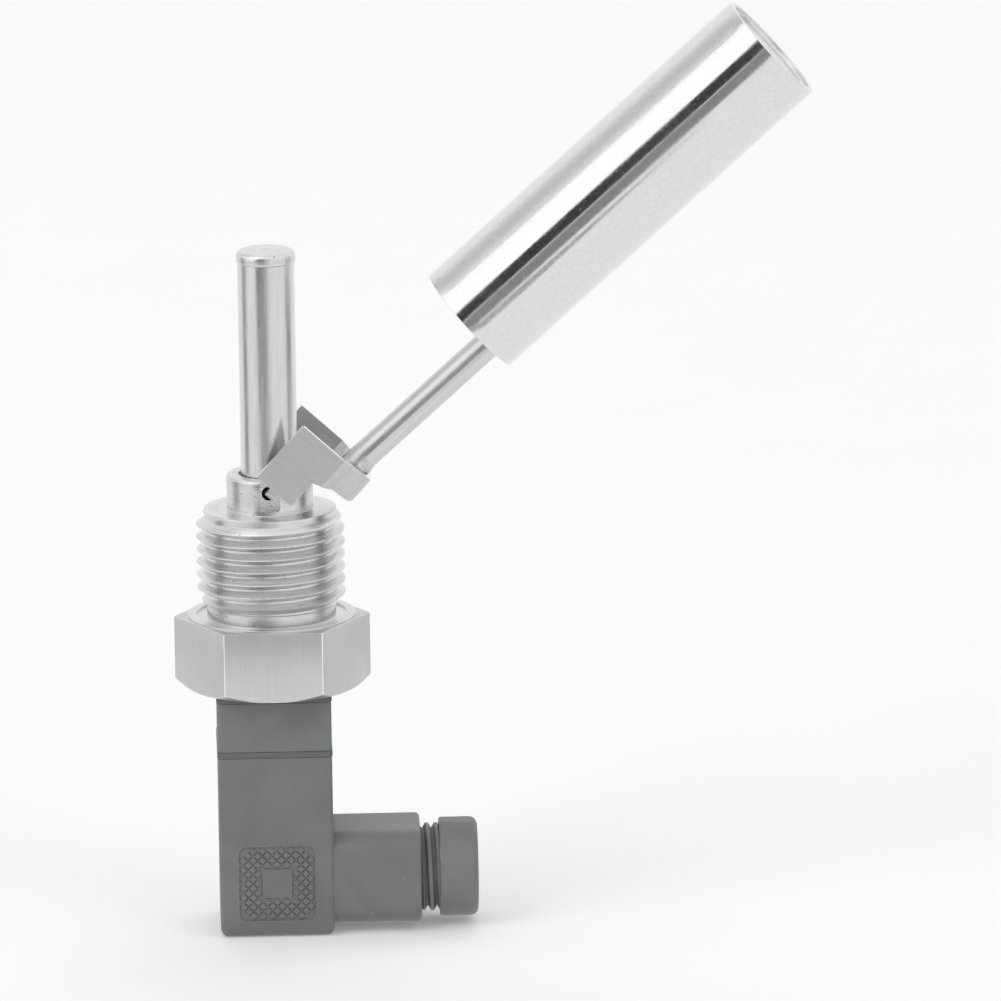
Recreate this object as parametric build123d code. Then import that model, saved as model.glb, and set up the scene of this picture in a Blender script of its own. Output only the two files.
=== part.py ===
# Float level sensor: a threaded stainless plug that carries a reed tube and a hinged float on a
# bent rod, with a square plug-in connector and its cable outlet underneath.
# Millimetres. The origin is the centre of the plug's sealing face, +Z runs up the reed tube and
# +X points to the float and to the cable outlet. The front is -Y.
from build123d import *
from math import radians, sqrt, tan
import os

# Fits
press_gap = 0.01             # on the radius, between pieces that are pressed or brazed together
running_gap = 0.25           # on the radius, between a pivot lug and its hole: a loose fit
side_gap = 0.2               # between the boss and each arm of the yoke
slide_gap = 0.05             # on the radius, between pieces that slide together
screw_gap = 0.15             # on the radius, between the fixing screw and the way through
past = 1.0                   # how far a cutting shape runs past the face that it cuts

# Plug
hex_flats = 24.0
hex_height = 10.0
hex_chamfer_angle = 30.0
washer_face_d = 23.6
washer_face_height = 0.3
washer_clear = 0.15          # on the radius, between the thread and a washer's seat
thread_d = 20.955            # major diameter of the process thread, G 1/2
thread_top = 16.1
thread_chamfer = 1.2
relief_d = 18.2
relief_height = 1.4
boss_d = 12.2
boss_top = 20.2
boss_edge = 0.6
stem_recess_d = 8.8
stem_recess_depth = 0.6
cavity_d = 14.6
cavity_top = 6.0
wire_way_d = 6.0
stem_seat = 8.0              # height of the shoulder that the reed tube stands on

# Pivot
pivot_height = 18.4
lug_width = 1.3
lug_reach = 1.1              # how far a lug enters the boss, measured from the slot's floor
lug_end_gap = 0.15           # from a lug's tip to the end of its hole
lug_bend_r = 0.72
slot_width = 2.8
slot_depth = 0.55
slot_bottom = 15.8
slot_corner_r = 0.6

# Reed tube
stem_d = 8.0
stem_wall = 0.5
stem_top = 50.5
cap_d = 8.35
cap_height = 1.8
cap_edge = 0.55
cap_spigot = 2.5

# Yoke, in its own frame: along its arms, and across them towards the rod
yoke_angle = 47.6            # rise of the arms at rest
sheet = 0.9
arm_near = 0.8               # the arms' lower edge lies this far from the pivot
arm_far = 10.6
arm_half_height = 3.2
neck_near = 6.2              # lower edge of the strip that joins the arms
neck_root = 5.3
joggle_start = 4.9
joggle_end = 6.25
joggle_in = 1.4
nose_bend_r = 3.6            # outer radius of the two bends of the nose
corner_r = 0.4

# Rod and float
rod_angle = 41.8             # rise of the rod at rest
rod_d = 4.0
rod_offset = 6.0             # from the pivot to the rod's axis
rod_start = 8.2
rod_weld = 1.6               # how far the weld that holds the rod runs up it
float_d = 17.0
float_wall = 0.5
float_length = 57.4
float_start = 36.7           # from the pivot to the float's lower end, along the rod
float_offset = 1.75          # from the pivot to the float's axis
cup_wall = 0.5
cup_depth = 3.0
cup_recess = 0.8
magnet_d = 9.0
magnet_length = 9.0
magnet_floor = 1.2

# Reed switch and wires
reed_glass_d = 2.2
reed_glass_length = 14.0
reed_glass_wall = 0.4
reed_seal = 1.0              # length of solid glass round each lead
reed_taper = 0.8             # length over which the glass opens out inside
wire_top_air = 0.35          # from the return wire's upper bend to the cap's spigot
lead_d = 0.5
lead_length = 2.0
blade_thick = 0.2
blade_overlap = 1.2
blade_air = 0.1
blade_side_air = 0.15        # from each edge of a blade to the glass
former_length = 18.0
wire_d = 1.1
wire_offset = 2.3

# Connector
seal_thick = 1.0
seal_proud = 0.3
profile_seal_thick = 0.85
base_side = 16.1
base_height = 7.1
base_edge_r = 0.7
base_spigot_height = 3.0
housing_height = 26.1
housing_wall = 1.3
housing_floor_edge = 0.6
tab_spacing = 8.0
tab_width = 2.8
tab_thick = 0.5
tab_reach = 6.0              # length of a contact tab below the base
tab_tail = 4.5               # length of its solder tail above the base
insert_d = 4.2
insert_height = 5.0

# Terminal block and fixing screw
block_side = 12.6
block_height = 11.0
block_lead_in = 0.6          # from the profile seal to the terminal block
clamp_wall = 0.6
clamp_height = 5.0
clamp_screw_d = 2.0
clamp_screw_length = 3.2
clamp_screw_sink = 1.0       # from the block's lower face to a clamp screw's head
clamp_screw_slot = 0.5       # width of a clamp screw's slot, and nearly its depth
screw_d = 2.9
screw_head_d = 5.4
screw_head_height = 2.0
screw_slot_width = 0.8
screw_slot_depth = 0.9
screw_well_d = 6.6
screw_well_depth = 3.6
screw_entry = 4.0            # how far the fixing screw enters the insert
screw_pillar_d = 8.6
o_ring_section = 0.8

# Texture pad on the front and the back of the housing
pad_side = 10.8
pad_depth = 0.3
pad_corner_r = 1.0
pad_centre_side = 4.2

# Cable outlet
outlet_height = -37.5        # height of the outlet's axis
arm_width = 15.2
arm_height = 13.4
arm_corner_r = 3.0
arm_end = 20.4
arm_end_edge = 0.6
gland_thread_d = 12.5
gland_length = 6.6
gland_bore_d = 9.4
gland_end_edge = 0.6
nut_d = 14.0
nut_start = 22.7
nut_length = 5.6
nut_flats = 13.6
nut_edge = 0.9
nut_near_edge = 0.4
nut_hole_d = 7.4
grommet_length = 5.0
grommet_bore_d = 5.0
washer_thick = 0.6

# Values worked out from the sizes above
hex_top = -washer_face_height
hex_bottom = hex_top - hex_height
base_top = hex_bottom - seal_thick
base_bottom = base_top - base_height
housing_top = base_bottom - profile_seal_thick
housing_bottom = housing_top - housing_height
slot_floor = boss_d / 2 - slot_depth
lug_tip = slot_floor - lug_reach
arm_inner = boss_d / 2 + side_gap
arm_outer = arm_inner + sheet
nose_outer = arm_outer - joggle_in
nose_crown = joggle_end + nose_bend_r
pivot_hole_r = sqrt((sheet / 2) ** 2 + (lug_width / 2) ** 2) + running_gap
cap_top = stem_top + cap_height
block_top = housing_top - block_lead_in
block_bottom = block_top - block_height
wire_top = stem_top - cap_spigot - wire_top_air
reed_high = wire_top - 1.5 * wire_d - lead_length
reed_low = reed_high - reed_glass_length
reed_centre = (reed_low + reed_high) / 2
former_high = reed_high
former_low = former_high - former_length
tab_tail_top = base_top + tab_tail
cup_floor = cup_recess + cup_wall
clamp_thick = tab_thick + 2 * slide_gap + 2 * clamp_wall
clamp_wide = tab_width + 2 * slide_gap + 2 * clamp_wall
gland_end = arm_end + gland_length
grommet_start = gland_end - grommet_length
screw_seat = housing_bottom + screw_well_depth
screw_head_top = screw_seat - o_ring_section

upward = (Align.CENTER, Align.CENTER, Align.MIN)
downward = (Align.CENTER, Align.CENTER, Align.MAX)
along_x = Rot(0, 90, 0)


def solids_of(shape):
    """Keep the solids of a result, whatever list or compound it came in."""
    found = shape.solids()
    return found[0] if len(found) == 1 else Compound(children=list(found))


def save(name, shape):
    export_step(solids_of(shape), f"parts/{name}.step")


def rod_between(radius, low, high):
    return Pos(0, 0, low) * Cylinder(radius, high - low, align=upward)


def tube(outer_r, inner_r, low, high):
    return rod_between(outer_r, low, high) - rod_between(inner_r, low, high)


def square_block(side, edge_r, low, high):
    """A square block with rounded upright edges."""
    return Pos(0, 0, low) * extrude(RectangleRounded(side, side, edge_r), high - low)


def turned(*points):
    """Turn an outline of (radius, height) points about the Z axis."""
    outline = make_face(Polyline(*points, close=True))
    return revolve(Plane.XZ * outline, Axis.Z)


def eased_rim(radius, top, reach):
    """Outline points of an outer rim with its corner taken off."""
    return (radius, top - reach), (radius - reach, top)


# The plug
def plug_hexagon():
    corner = hex_flats / sqrt(3)
    rise = (corner - hex_flats / 2) * tan(radians(hex_chamfer_angle))
    prism = Pos(0, 0, hex_bottom) * extrude(RegularPolygon(corner, 6, rotation=0), hex_height)
    envelope = turned(
        (0, hex_bottom),
        (hex_flats / 2, hex_bottom),
        (corner, hex_bottom + rise),
        (corner, hex_top),
        (0, hex_top),
    )
    return prism & envelope


def plug_turning():
    """Washer face, relief, thread and boss, turned as one."""
    thread_r = thread_d / 2
    body = turned(
        (0, hex_top),
        (washer_face_d / 2, hex_top),
        (washer_face_d / 2, 0),
        (thread_r + washer_clear, 0),
        (thread_r + washer_clear, hex_top),
        (relief_d / 2, hex_top),
        (relief_d / 2, relief_height),
        (thread_r, relief_height + (thread_d - relief_d) / 2),
        (thread_r, thread_top - thread_chamfer),
        (thread_r - thread_chamfer, thread_top),
        (boss_d / 2, thread_top),
        *eased_rim(boss_d / 2, boss_top, boss_edge),
        (0, boss_top),
    )
    return body


def plug_bores():
    way = rod_between(wire_way_d / 2, hex_bottom, boss_top)
    cavity = rod_between(cavity_d / 2, hex_bottom, cavity_top)
    seat = rod_between(stem_d / 2 + press_gap, stem_seat, boss_top)
    recess = rod_between(stem_recess_d / 2, boss_top - stem_recess_depth, boss_top)
    return way + cavity + seat + recess


def pivot_slots():
    """The milled slots in the boss, each with its blind pivot hole."""
    height = boss_top - slot_bottom
    cuts = []
    for side in (-1, 1):
        slot = Box(slot_width, boss_d, height, align=(Align.CENTER, Align.MIN, Align.MIN))
        slot = fillet(slot.edges().filter_by(Axis.Y).group_by(Axis.Z)[0], slot_corner_r)
        hole = Rot(-90, 0, 0) * Cylinder(pivot_hole_r, boss_d, align=upward)
        deep = lug_tip - lug_end_gap
        cut = Pos(0, slot_floor, slot_bottom) * slot + Pos(0, deep, pivot_height) * hole
        cuts.append(cut if side > 0 else Rot(0, 0, 180) * cut)
    reach = rod_between(boss_d / 2 + past, slot_bottom, boss_top + past)
    return (cuts[0] & reach) + (cuts[1] & reach)


def plug_body():
    return plug_hexagon() + plug_turning() - plug_bores() - pivot_slots()


# The reed tube and what it holds
def stem_tube():
    return tube(stem_d / 2, stem_d / 2 - stem_wall, stem_seat, stem_top)


def stem_cap():
    spigot_r = stem_d / 2 - stem_wall - press_gap
    body = turned(
        (0, stem_top - cap_spigot),
        (spigot_r, stem_top - cap_spigot),
        (spigot_r, stem_top),
        (cap_d / 2, stem_top),
        *eased_rim(cap_d / 2, cap_top, cap_edge),
        (0, cap_top),
    )
    return body


def reed_glass():
    """A glass tube, melted down round a lead at each end."""
    outer = reed_glass_d / 2
    inner = outer - reed_glass_wall
    lead_r = lead_d / 2 + press_gap
    return turned(
        (lead_r, reed_low),
        (outer, reed_low),
        (outer, reed_high),
        (lead_r, reed_high),
        (lead_r, reed_high - reed_seal),
        (inner, reed_high - reed_seal - reed_taper),
        (inner, reed_low + reed_seal + reed_taper),
        (lead_r, reed_low + reed_seal),
    )


def reed_blade(side):
    """A round lead, beaten flat inside the glass; side is 1 for the upper one."""
    neck = reed_seal + reed_taper
    end = reed_glass_length / 2
    lead = rod_between(lead_d / 2, end - neck, end + lead_length)
    width = reed_glass_d - 2 * reed_glass_wall - 2 * blade_side_air
    blade = Box(width, blade_thick, end - neck + blade_overlap, align=upward)
    offset_y = (blade_air + blade_thick) / 2
    whole = lead + Pos(0, offset_y, -blade_overlap) * blade
    return Pos(0, 0, reed_centre) * (whole if side > 0 else Rot(180, 0, 0) * whole)


def reed_former():
    """Moulded holder that centres the glass in the tube, with a groove for the return wire."""
    body = rod_between(stem_d / 2 - stem_wall - slide_gap, former_low, former_high)
    body -= rod_between(reed_glass_d / 2 + press_gap, reed_low, former_high)
    body -= rod_between(wire_d, former_low, reed_low)
    wide = wire_d + 2 * slide_gap
    groove = Box(stem_d, wide, former_length, align=(Align.MAX, Align.CENTER, Align.MIN))
    return body - Pos(-wire_offset + wide / 2, 0, former_low) * groove


def wire_along(*points):
    route = Polyline(*points)
    section = Plane(route @ 0, z_dir=route % 0) * Circle(wire_d / 2)
    return sweep(section, path=route, transition=Transition.RIGHT)


def return_wire():
    """From the upper lead, over the former and down its groove to the left tab's tail."""
    top = reed_high + lead_length
    left = -tab_spacing / 2
    return wire_along(
        (lead_d / 2 + wire_d / 2, 0, top - lead_d),
        (lead_d / 2 + wire_d / 2, 0, top + wire_d),
        (-wire_offset, 0, top + wire_d),
        (-wire_offset, 0, cavity_top),
        (left, 0, cavity_top - 2 * wire_d),
        (left, 0, tab_tail_top),
    )


def signal_wire():
    """From the lower lead straight down to the right tab's tail."""
    right = tab_spacing / 2
    return wire_along(
        (0, 0, reed_low - lead_length),
        (0, 0, cavity_top),
        (right, 0, cavity_top - 2 * wire_d),
        (right, 0, tab_tail_top),
    )


def potting():
    """Resin that fills the cavity above the connector base, round the wires and tails."""
    fill = rod_between(cavity_d / 2 - press_gap, base_top + base_spigot_height, cavity_top)
    return fill - return_wire() - signal_wire() - contact_tabs() - earth_tab()


# The yoke and the float, in the yoke's or the rod's own frame, then set to their rest angle
def at_pivot(angle, shape):
    return Pos(0, 0, pivot_height) * Rot(0, -angle, 0) * shape


def yoke_section():
    """The folded sheet seen along the arms: open at the top, with the nose at the bottom."""
    corners = Polyline(
        (0, arm_half_height),
        (arm_outer, arm_half_height),
        (arm_outer, -joggle_start),
        (nose_outer, -joggle_end),
    )
    bend = JernArc((nose_outer, -joggle_end), (0, -1), nose_bend_r, -90)
    half = make_face([*corners.edges(), bend, Line(bend @ 1, (0, -nose_crown)),
                      Line((0, -nose_crown), (0, arm_half_height))])
    outer = half + mirror(half, about=Plane.YZ)
    joggles = outer.vertices().filter_by(lambda v: abs(v.X) > nose_outer - press_gap and v.Y < 0)
    outer = fillet(joggles, sheet)
    inner = offset(outer, -sheet, kind=Kind.INTERSECTION)
    mouth = Pos(0, arm_half_height) * Rectangle(2 * arm_inner, 2 * sheet)
    return outer - inner - mouth


def yoke_side():
    """The blank's outline seen from the side: two arms and the narrower strip that joins them."""
    outline = make_face(Polyline(
        (arm_near, arm_half_height),
        (arm_far, arm_half_height),
        (arm_far, -nose_crown - past),
        (neck_near, -nose_crown - past),
        (neck_near, -joggle_end),
        (neck_root, -arm_half_height),
        (arm_near, -arm_half_height),
        close=True,
    ))
    return fillet(outline.vertices().filter_by(lambda v: v.Y > -nose_crown), corner_r)


def pivot_lug():
    """The tongue at an arm's lower edge, bent inward to enter its pivot hole."""
    strip = Box(arm_near + past, sheet, lug_width, align=(Align.MIN, Align.MAX, Align.CENTER))
    leg = Box(sheet, arm_outer - lug_tip, lug_width, align=(Align.CENTER, Align.MAX, Align.CENTER))
    lug = leg + Pos(-sheet / 2, 0, 0) * strip
    outside = lug.edges().filter_by(Axis.Z).group_by(Axis.Y)[-1].sort_by(Axis.X)[0]
    return Pos(0, arm_outer, 0) * fillet(outside, lug_bend_r)


def float_yoke():
    sheet_form = extrude(Plane.YZ * yoke_section(), arm_far + past)
    outline = extrude(Plane.XZ * yoke_side(), arm_outer + past, both=True)
    lug = pivot_lug()
    whole = (sheet_form & outline) + lug + Rot(180, 0, 0) * lug
    return at_pivot(yoke_angle, whole)


def below_crown():
    """The space on the pivot's side of the nose's inner face, where the rod is ground to seat."""
    inner_face = nose_crown - sheet
    block = Box(2 * float_start, float_d, float_d, align=upward)
    return at_pivot(yoke_angle, Pos(0, 0, -inner_face) * block)


def beyond_nose():
    block = Box(float_start, float_d, 3 * float_d, align=(Align.MIN, Align.CENTER, Align.CENTER))
    return at_pivot(yoke_angle, Pos(arm_far, 0, 0) * block)


def float_rod():
    """The rod, ground flat where it seats in the nose, with the weld's fillet above it."""
    length = float_start + cup_recess - rod_start
    place = Pos(rod_start, 0, -rod_offset) * along_x
    rod = at_pivot(rod_angle, place * Cylinder(rod_d / 2, length, align=upward))
    collar = Cone(rod_d / 2 + rod_weld, rod_d / 2, arm_far + rod_weld - rod_start, align=upward)
    crown_side = Box(float_d, float_d, float_start, align=(Align.MIN, Align.CENTER, Align.MIN))
    weld = at_pivot(rod_angle, place * (collar & crown_side)) & beyond_nose()
    return (rod & below_crown()) + (rod & beyond_nose()) + weld


def in_float(shape):
    """Turn a shape made along +Z, from its own origin, onto the float's axis."""
    place = Pos(float_start, 0, -float_offset) * along_x
    return at_pivot(rod_angle, place * shape)


def float_tube():
    return in_float(tube(float_d / 2, float_d / 2 - float_wall, 0, float_length))


def float_cup():
    """A drawn cup, pressed in with its rim level with the tube's end and its floor recessed."""
    outer = float_d / 2 - float_wall - press_gap
    inner = outer - cup_wall
    cup = turned(
        (0, cup_recess),
        (inner, cup_recess),
        (inner, 0),
        (outer, 0),
        (outer, cup_depth),
        (inner, cup_depth),
        (inner, cup_recess + cup_wall),
        (0, cup_recess + cup_wall),
    )
    return cup


def float_lower_cup():
    return in_float(float_cup())


def float_upper_cup():
    return in_float(Pos(0, 0, float_length) * Rot(180, 0, 0) * float_cup())


def magnet_holder():
    outer = float_d / 2 - float_wall - cup_wall - 2 * press_gap
    body = rod_between(outer, cup_floor, cup_floor + magnet_floor + magnet_length)
    well = rod_between(magnet_d / 2 + press_gap, cup_floor + magnet_floor, float_length)
    return in_float(body - well)


def float_magnet():
    low = cup_floor + magnet_floor
    return in_float(rod_between(magnet_d / 2, low, low + magnet_length))


# The connector base under the plug
def contact_tab():
    """A flat tab, from its solder tail down to its tapered tip."""
    blade = Pos(0, 0, base_bottom - tab_reach) * Box(tab_thick, tab_width,
                                                     tab_reach + base_height, align=upward)
    tip = blade.edges().filter_by(Axis.X).group_by(Axis.Z)[0]
    tail = Pos(0, 0, base_top) * Box(tab_thick, wire_d, tab_tail, align=upward)
    return chamfer(tip, tab_width / 4) + tail


def contact_tabs():
    tab = contact_tab()
    half = tab_spacing / 2
    return Compound(children=[Pos(x, 0, 0) * solids_of(tab) for x in (-half, half)])


def earth_tab():
    """The earth contact, set across the other two and joined to the plug's cavity wall."""
    return Pos(0, tab_spacing / 2, 0) * Rot(0, 0, 90) * contact_tab()


def connector_base():
    body = square_block(base_side, base_edge_r, base_bottom, base_top)
    spigot = rod_between(cavity_d / 2 - press_gap, base_top, base_top + base_spigot_height)
    well = rod_between(insert_d / 2 + press_gap, base_bottom, base_bottom + insert_height)
    return body + spigot - well - contact_tabs() - earth_tab()


def threaded_insert():
    return tube(insert_d / 2, screw_d / 2 + press_gap, base_bottom, base_bottom + insert_height)


def base_seal():
    """Flat seal between the hexagon and the base, proud of the base all round."""
    side = base_side + 2 * seal_proud
    body = square_block(side, base_edge_r, base_top, hex_bottom)
    return body - rod_between(cavity_d / 2 + slide_gap, base_top, hex_bottom)


def profile_seal():
    """Seal between the base and the plug-on housing, with ways for the tabs and the screw."""
    side = base_side + 2 * seal_proud
    body = square_block(side, base_edge_r, housing_top, base_bottom)
    body -= rod_between(insert_d / 2, housing_top, base_bottom)
    return body - contact_tabs() - earth_tab()


# The plug-on housing and what it holds
def outlet(shape):
    """Turn a shape made along +Z onto the outlet's axis, measured from the housing's centre."""
    return Pos(0, 0, outlet_height) * along_x * shape


def housing_shell():
    shell = square_block(base_side, base_edge_r, housing_bottom, housing_top)
    shell = chamfer(shell.faces().sort_by(Axis.Z)[0].edges(), housing_floor_edge)
    side = base_side - 2 * housing_wall
    return shell - square_block(side, base_edge_r, screw_seat + housing_wall, housing_top)


def outlet_arm():
    section = RectangleRounded(arm_height, arm_width, arm_corner_r)
    arm = extrude(section, arm_end)
    arm = chamfer(arm.faces().sort_by(Axis.Z)[-1].edges(), arm_end_edge)
    spigot = rod_between(gland_thread_d / 2, arm_end, gland_end)
    spigot = chamfer(spigot.faces().sort_by(Axis.Z)[-1].edges(), gland_end_edge)
    start = base_side / 2 - housing_wall
    return outlet((arm + spigot) & rod_between(arm_width, start, gland_end))


def texture_pads():
    """Shallow recesses, front and back, each round a square that is left level."""
    ring = RectangleRounded(pad_side, pad_side, pad_corner_r) - Rectangle(pad_centre_side,
                                                                          pad_centre_side)
    pad = Plane.XZ.offset(base_side / 2) * ring
    front = Pos(0, 0, outlet_height) * extrude(pad, -pad_depth)
    return front + Rot(0, 0, 180) * front


def screw_passage():
    well = rod_between(screw_well_d / 2, housing_bottom, screw_seat)
    way = rod_between(screw_d / 2 + screw_gap, housing_bottom, housing_top)
    return well + way


def connector_housing():
    pillar = rod_between(screw_pillar_d / 2, screw_seat, block_bottom)
    shell = housing_shell() + outlet_arm()
    bore = outlet(rod_between(gland_bore_d / 2, screw_pillar_d / 2, gland_end))
    return shell - bore + pillar - screw_passage() - texture_pads()


def clamp_places():
    """Centres of the three contact clamps, under the tabs."""
    half = tab_spacing / 2
    return [Pos(-half, 0, 0), Pos(half, 0, 0), Pos(0, half, 0) * Rot(0, 0, 90)]


def clamp_box():
    """One sheet metal clamp that a tab slides into, closed on its four sides."""
    outer = Box(clamp_thick, clamp_wide, clamp_height, align=upward)
    inner = Box(clamp_thick - 2 * clamp_wall, clamp_wide - 2 * clamp_wall, clamp_height,
                align=upward)
    return Pos(0, 0, block_top - clamp_height) * (outer - inner)


def terminal_clamps():
    return Compound(children=[solids_of(place * clamp_box()) for place in clamp_places()])


def clamp_screw():
    """A slotted screw that reaches the clamp's outer wall from below."""
    low = block_bottom + clamp_screw_sink
    body = rod_between(clamp_screw_d / 2, low, low + clamp_screw_length)
    slot = Box(clamp_screw_slot, clamp_screw_d, clamp_screw_slot, align=upward)
    return body - Pos(0, 0, low) * slot


def terminal_screws():
    return Compound(children=[solids_of(place * clamp_screw()) for place in clamp_places()])


def terminal_block():
    """The insulating block that carries the clamps and their screws."""
    block = square_block(block_side, base_edge_r, block_bottom, block_top)
    block -= rod_between(screw_d / 2 + screw_gap, block_bottom, block_top)
    for place in clamp_places():
        pocket = Box(clamp_thick + 2 * press_gap, clamp_wide + 2 * press_gap, clamp_height,
                     align=downward)
        way = rod_between(clamp_screw_d / 2 + press_gap, block_bottom, block_top)
        block -= place * (Pos(0, 0, block_top) * pocket + way)
    return block


def fixing_screw():
    low = screw_head_top - screw_head_height
    head = rod_between(screw_head_d / 2, low, screw_head_top)
    slot = Box(screw_head_d, screw_slot_width, screw_slot_depth, align=upward)
    shank = rod_between(screw_d / 2, screw_head_top, base_bottom + screw_entry)
    return head + shank - Pos(0, 0, low) * slot


def screw_seal():
    """Ring under the screw's head, with a square section as it lies squeezed."""
    inner = screw_d / 2 + slide_gap
    return tube(inner + o_ring_section, inner, screw_head_top, screw_seat)


# The cable gland
def gland_grommet():
    outer = gland_bore_d / 2 - 2 * press_gap
    return outlet(tube(outer, grommet_bore_d / 2, grommet_start, gland_end))


def gland_washer():
    return outlet(tube(gland_bore_d / 2, nut_hole_d / 2, gland_end, gland_end + washer_thick))


def gland_nut():
    """Round nut with six shallow flats, closed by a holed wall that bears on the washer."""
    end = nut_start + nut_length
    outline = turned(
        (0, nut_start),
        (nut_d / 2 - nut_near_edge, nut_start),
        (nut_d / 2, nut_start + nut_near_edge),
        *eased_rim(nut_d / 2, end, nut_edge),
        (0, end),
    )
    flats = Pos(0, 0, nut_start) * extrude(RegularPolygon(nut_flats / sqrt(3), 6), nut_length)
    body = outline & flats
    inside = gland_end + washer_thick
    body -= rod_between(gland_thread_d / 2 + press_gap, nut_start, inside)
    return outlet(body - rod_between(nut_hole_d / 2, inside, end))


parts = {
    "plug_body": plug_body,
    "stem_tube": stem_tube,
    "stem_cap": stem_cap,
    "reed_glass": reed_glass,
    "reed_blade_upper": lambda: reed_blade(1),
    "reed_blade_lower": lambda: reed_blade(-1),
    "reed_former": reed_former,
    "return_wire": return_wire,
    "signal_wire": signal_wire,
    "potting": potting,
    "float_yoke": float_yoke,
    "float_rod": float_rod,
    "float_tube": float_tube,
    "float_lower_cup": float_lower_cup,
    "float_upper_cup": float_upper_cup,
    "magnet_holder": magnet_holder,
    "float_magnet": float_magnet,
    "base_seal": base_seal,
    "connector_base": connector_base,
    "contact_tabs": contact_tabs,
    "earth_tab": earth_tab,
    "threaded_insert": threaded_insert,
    "profile_seal": profile_seal,
    "connector_housing": connector_housing,
    "terminal_block": terminal_block,
    "terminal_clamps": terminal_clamps,
    "terminal_screws": terminal_screws,
    "fixing_screw": fixing_screw,
    "screw_seal": screw_seal,
    "gland_grommet": gland_grommet,
    "gland_washer": gland_washer,
    "gland_nut": gland_nut,
}

os.makedirs("parts", exist_ok=True)
for part_name, make in parts.items():
    save(part_name, make())
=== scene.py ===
import bmesh
import bpy
from math import atan, atan2, cos, hypot, pi, radians, sin, sqrt, tan
from mathutils import Matrix, Vector


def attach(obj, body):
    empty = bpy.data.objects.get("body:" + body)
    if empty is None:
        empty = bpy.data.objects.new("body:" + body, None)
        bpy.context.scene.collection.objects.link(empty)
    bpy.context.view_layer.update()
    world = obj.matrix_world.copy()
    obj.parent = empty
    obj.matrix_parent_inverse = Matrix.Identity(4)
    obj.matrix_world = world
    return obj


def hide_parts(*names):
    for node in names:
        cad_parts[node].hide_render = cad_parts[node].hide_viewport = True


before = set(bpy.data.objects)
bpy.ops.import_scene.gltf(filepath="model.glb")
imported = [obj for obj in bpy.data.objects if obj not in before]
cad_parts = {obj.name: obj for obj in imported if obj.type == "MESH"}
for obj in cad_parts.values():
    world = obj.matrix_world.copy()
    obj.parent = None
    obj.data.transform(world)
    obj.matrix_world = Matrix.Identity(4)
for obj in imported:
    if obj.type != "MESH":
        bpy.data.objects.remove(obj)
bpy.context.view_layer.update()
print("frame loaded")

millimetre = 0.001
mergeDistance = 2e-7  # metres
floatSocket, vectorSocket, wholeSocket = "NodeSocketFloat", "NodeSocketVector", "NodeSocketInt"


def addNode(tree, kind, sockets=None, **settings):
    added = tree.nodes.new(kind)
    for key, value in settings.items():
        setattr(added, key, value)
    for key, value in (sockets or {}).items():
        if isinstance(value, bpy.types.NodeSocket):
            tree.links.new(value, added.inputs[key])
        else:
            added.inputs[key].default_value = value
    return added


def made(tree, kind, sockets=None, **settings):  # a new node's first output
    return addNode(tree, kind, sockets, **settings).outputs[0]


def wire(tree, value, socket):
    tree.links.new(value, socket)


def calculate(tree, operation, first, second=0.0):
    return made(tree, "ShaderNodeMath", {0: first, 1: second}, operation=operation)


def plus(tree, first, second):
    return calculate(tree, "ADD", first, second)


def minus(tree, first, second):
    return calculate(tree, "SUBTRACT", first, second)


def times(tree, first, second):
    return calculate(tree, "MULTIPLY", first, second)


def larger(tree, first, second):
    return calculate(tree, "MAXIMUM", first, second)


def smaller(tree, first, second):
    return calculate(tree, "MINIMUM", first, second)


def split(tree, vector):
    return addNode(tree, "ShaderNodeSeparateXYZ", {0: vector}).outputs


def combine(tree, axes):
    return made(tree, "ShaderNodeCombineXYZ", axes)


def fromAxis(tree, parts):  # the distance from the Z axis
    return calculate(tree, "SQRT", plus(tree, *(times(tree, parts[i], parts[i]) for i in (0, 1))))


def noise(tree, place, scale, detail=2.0, distortion=0.0, **settings):
    return made(tree, "ShaderNodeTexNoise", {"Vector": place, "Scale": scale, "Detail": detail,
                                             "Distortion": distortion}, **settings)


def ramp(tree, value, low, high, toLow=0.0, toHigh=1.0):  # a straight ramp, held at both ends
    return made(tree, "ShaderNodeMapRange", {"Value": value, "From Min": low, "From Max": high,
                                             "To Min": toLow, "To Max": toHigh})


def mixColours(tree, factor, *colours):
    first, second = (colour if isinstance(colour, bpy.types.NodeSocket) else (*colour, 1.0)
                     for colour in colours)
    return addNode(tree, "ShaderNodeMix", {0: factor, 6: first, 7: second},
                   data_type="RGBA").outputs[2]


def startGroup(name, kind, inputs, outputs):
    tree = bpy.data.node_groups.new(name, kind)
    for label, socketType, value in inputs:
        socket = tree.interface.new_socket(label, in_out="INPUT", socket_type=socketType)
        if value is not None:
            socket.default_value = value
    for label, socketType in outputs:
        tree.interface.new_socket(label, in_out="OUTPUT", socket_type=socketType)
    return tree, tree.nodes.new("NodeGroupInput").outputs, tree.nodes.new("NodeGroupOutput").inputs


def numberInputs(numbers):
    return [(label, wholeSocket if isinstance(value, int) else floatSocket, value)
            for label, value in numbers.items()]


# Effects that several materials share.
def startEffect(name, outputs, **numbers):
    return startGroup(name, "ShaderNodeTree",
                      [("Vector", vectorSocket, None)] + numberInputs(numbers),
                      [(label, floatSocket) for label in outputs])


def turnedLinesGroup():  # fine rings from the lathe: even in the angle, uneven in radius and height
    tree, given, result = startEffect("turnedLines", ["Lines", "Broad"], Width=0.0002)
    parts = split(tree, given["Vector"])
    across, height = (calculate(tree, "DIVIDE", length, given["Width"])
                      for length in (fromAxis(tree, parts), parts[2]))
    place = combine(tree, {0: across, 1: height})
    for label, scale in (("Lines", 1.0), ("Broad", 0.17)):
        wire(tree, noise(tree, place, scale, 3.0, noise_dimensions="2D"), result[label])
    return tree


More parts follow.
